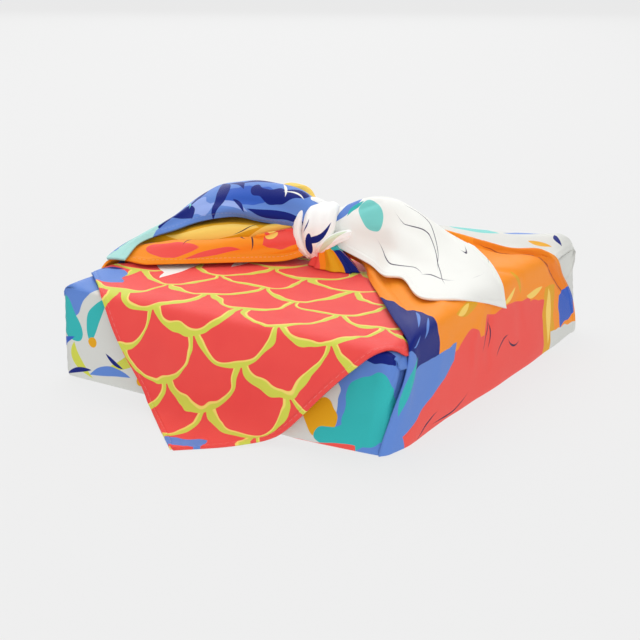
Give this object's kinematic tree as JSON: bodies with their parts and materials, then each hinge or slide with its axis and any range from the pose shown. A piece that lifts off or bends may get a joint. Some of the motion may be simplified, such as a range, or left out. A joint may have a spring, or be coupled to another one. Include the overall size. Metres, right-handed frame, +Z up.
{
  "type": "furoshiki wrap",
  "caption": "Square printed cloth wrapped round a flat box, its sides gathered to a knot on top with two free tails, and a pointed flap down the front.",
  "frame": {"origin": "middle of the flat underside, on the surface it stands on", "axes": "+Z up, +Y from the front flap to the back along the longest side, +X to the right"},
  "size_m": [0.2205, 0.2913, 0.0983],
  "materials": {
    "cloth": "printed, smooth plain weave with a slight satin sheen"
  },
  "bodies": {
    "root": {"furoshiki": "cloth"}
  },
  "joints": []
}
